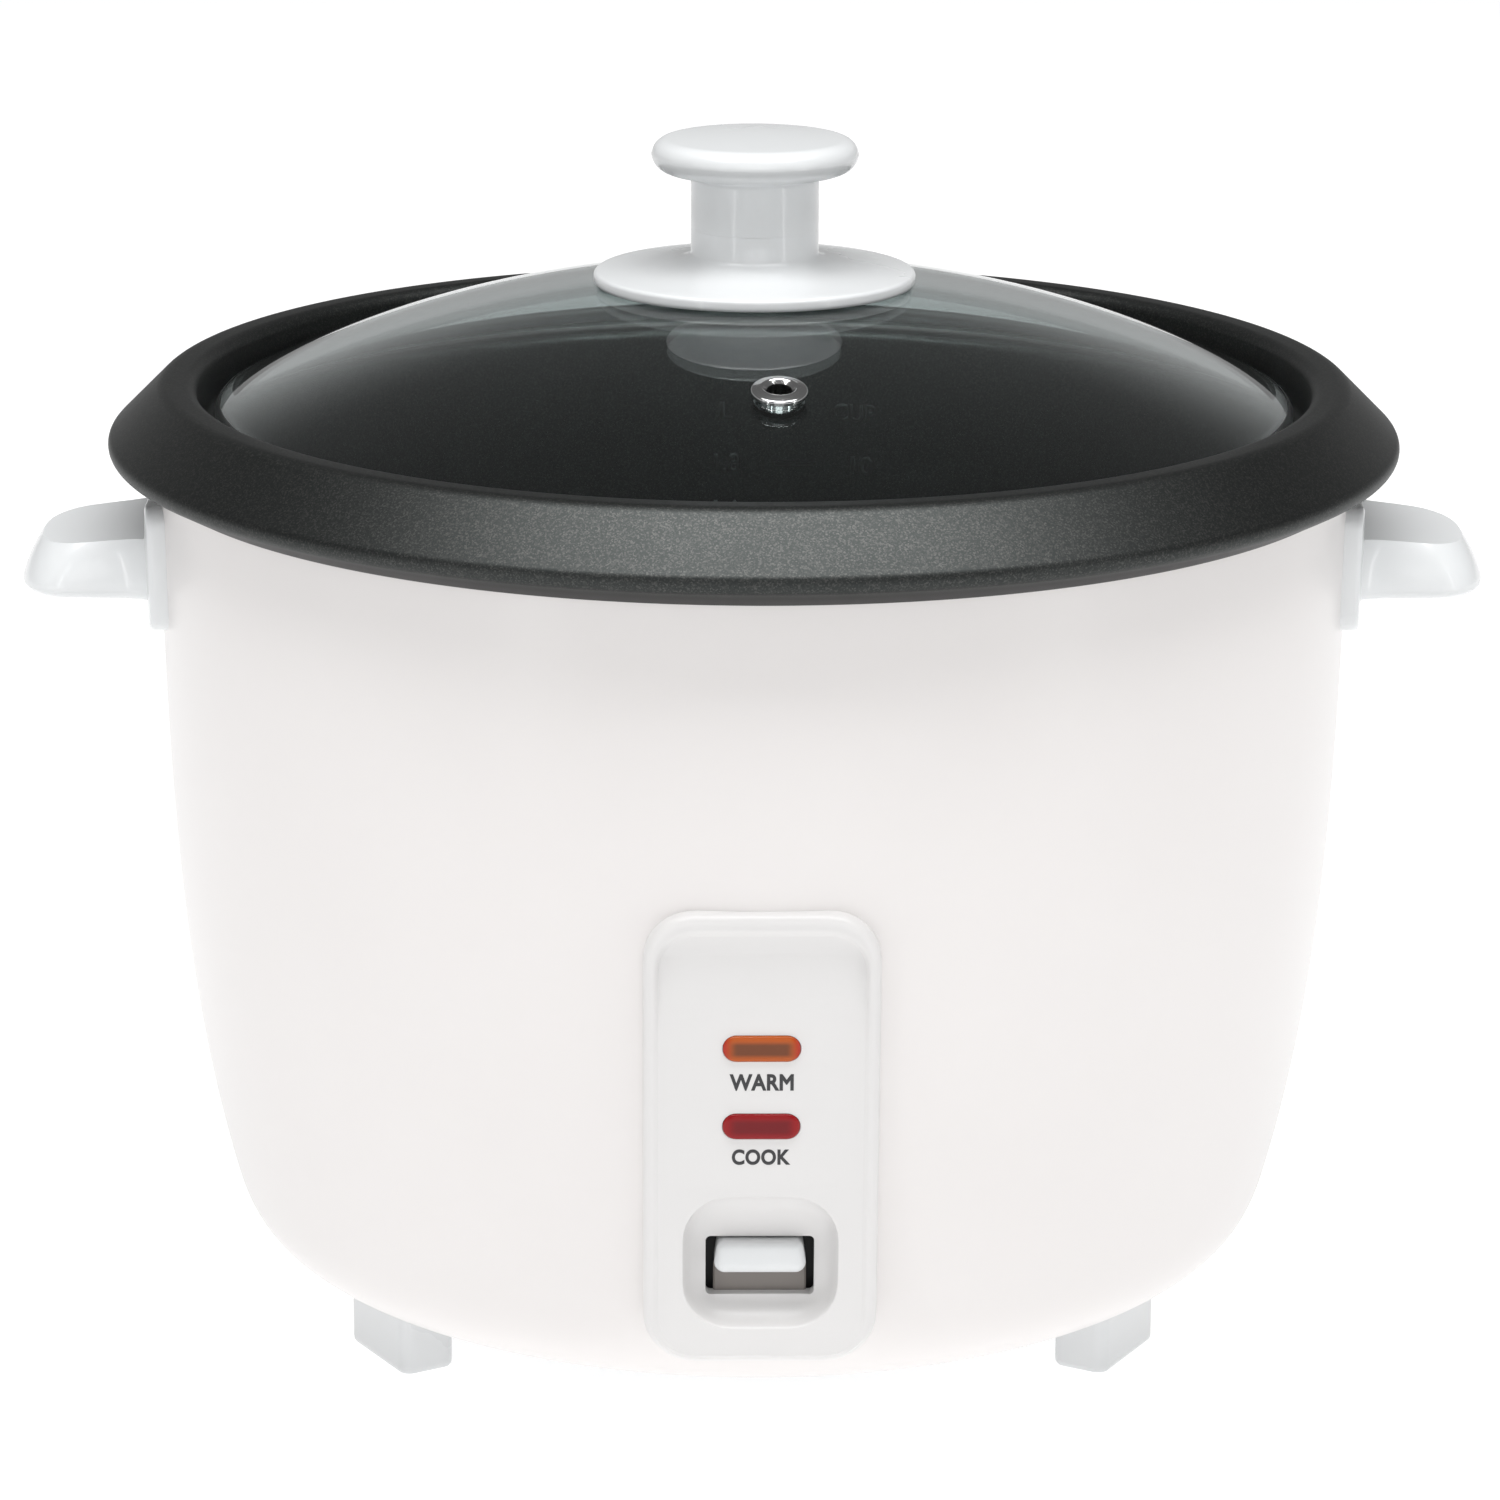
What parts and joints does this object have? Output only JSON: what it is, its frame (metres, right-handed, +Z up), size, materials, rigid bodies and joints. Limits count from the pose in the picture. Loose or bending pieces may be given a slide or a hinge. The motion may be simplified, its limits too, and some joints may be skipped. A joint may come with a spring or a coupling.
{
  "type": "rice cooker",
  "caption": "Drum-shaped electric rice cooker with a lift-out pot, a domed glass lid, side handles and a press-down cook lever",
  "frame": {"origin": "centre of the overall box on the table that the feet stand on", "axes": "+Z up, the control panel faces -Y, the handles lie along X"},
  "size_m": [0.2932, 0.2574, 0.2415],
  "materials": {
    "painted_shell": "warm white gloss enamel on steel sheet",
    "grey_trim": "pale grey heat-resistant trim",
    "galvanised_steel": "galvanised steel sheet",
    "mica": "mica-wrapped warming heater",
    "zinc_screws": "zinc-plated pan-head screws",
    "white_plastic": "glossy cool white moulding",
    "panel_plastic": "satin off-white moulding",
    "amber_lens": "translucent amber lens",
    "red_lens": "translucent deep red lens",
    "phenolic_brown": "brown phenolic moulding",
    "lamp_glass": "small neon lamp",
    "black_plastic": "black heat-resistant moulding",
    "brass_pins": "nickelled brass contact",
    "cast_aluminium": "turned cast aluminium",
    "element_steel": "tubular heating element sheath",
    "steel": "plain spring or sheet steel",
    "fuse_metal": "thermal fuse case",
    "switch_red": "switch button",
    "ferrite": "sintered ferrite",
    "non_stick_pot": "dark grey speckled non-stick coating on aluminium",
    "lid_glass": "clear tempered glass",
    "silicone": "translucent grey silicone",
    "wire_red": "sleeved lead",
    "wire_blue": "sleeved lead",
    "wire_green": "sleeved lead",
    "wire_white": "sleeved lead"
  },
  "bodies": {
    "base": {"outer_shell": "painted_shell", "top_ring": "grey_trim", "inner_liner": "galvanised_steel", "warm_heater_band": "mica", "bottom_cover": "galvanised_steel", "bottom_screws": "zinc_screws", "foot_front_left": "white_plastic", "foot_front_right": "white_plastic", "foot_rear": "white_plastic", "foot_screws": "zinc_screws", "left_handle": "white_plastic", "right_handle": "white_plastic", "handle_screws": "zinc_screws", "control_panel": "panel_plastic", "panel_straps": "steel", "panel_screws": "zinc_screws", "warm_lens": "amber_lens", "cook_lens": "red_lens", "lamp_holder": "phenolic_brown", "warm_lamp": "lamp_glass", "cook_lamp": "lamp_glass", "power_inlet": "black_plastic", "inlet_pins": "brass_pins", "inlet_screws": "zinc_screws", "heating_plate": "cast_aluminium", "heating_element": "element_steel", "heater_spacers": "steel", "heater_bolts": "zinc_screws", "thermal_fuse": "fuse_metal", "fuse_clip": "steel", "switch_bracket": "galvanised_steel", "bracket_posts": "steel", "lever_pin": "steel", "lever_spring": "steel", "main_switch": "phenolic_brown", "sensor_spring": "steel", "wire_live": "wire_red", "wire_neutral": "wire_blue", "wire_earth": "wire_green", "wire_lamps": "wire_white"},
    "pot": {"inner_pot": "non_stick_pot"},
    "lid": {"lid_glass": "lid_glass", "vent_eyelet": "steel", "knob_skirt": "white_plastic", "knob_cap": "white_plastic", "knob_gasket": "silicone", "knob_washer": "steel", "knob_screw": "zinc_screws"},
    "lever": {"cook_lever": "steel", "cook_paddle": "white_plastic"},
    "magnet_carrier": {"magnet": "ferrite", "magnet_rod": "steel"},
    "switch_button": {"switch_plunger": "switch_red"},
    "sensor": {"sensor_cup": "cast_aluminium", "sensor_ferrite": "ferrite"}
  },
  "joints": [
    {"name": "pot_lift", "type": "slide", "parent": "base", "child": "pot", "axis": [0, 0, 1], "range_m": [0, 0.17]},
    {"name": "lid_lift", "type": "slide", "parent": "pot", "child": "lid", "axis": [0, 0, 1], "range_m": [0, 0.1]},
    {"name": "lever_press", "type": "hinge", "parent": "base", "child": "lever", "pos_m": [0, -0.044, 0.03], "axis": [1, 0, 0], "range_deg": [0, 4.59], "stiffness_Nm_per_rad": 1, "springref_deg": -6.88, "deforming": ["lever_spring"]},
    {"name": "magnet_lift", "type": "slide", "parent": "base", "child": "magnet_carrier", "axis": [0, 0, 1], "range_m": [0, 0.00355]},
    {"name": "switch_press", "type": "slide", "parent": "base", "child": "switch_button", "axis": [0, 0, 1], "range_m": [-0.0021, 0]},
    {"name": "sensor_float", "type": "slide", "parent": "base", "child": "sensor", "axis": [0, 0, 1], "range_m": [0, 0.003], "deforming": ["sensor_spring"]}
  ],
  "couplings": [
    {"joint": "magnet_lift", "follows": "lever_press", "m_per_rad": 0.044},
    {"joint": "switch_press", "follows": "lever_press", "m_per_rad": -0.026},
    {"joint": "sensor_float", "follows": "pot_lift", "ratio": 0.017647}
  ]
}
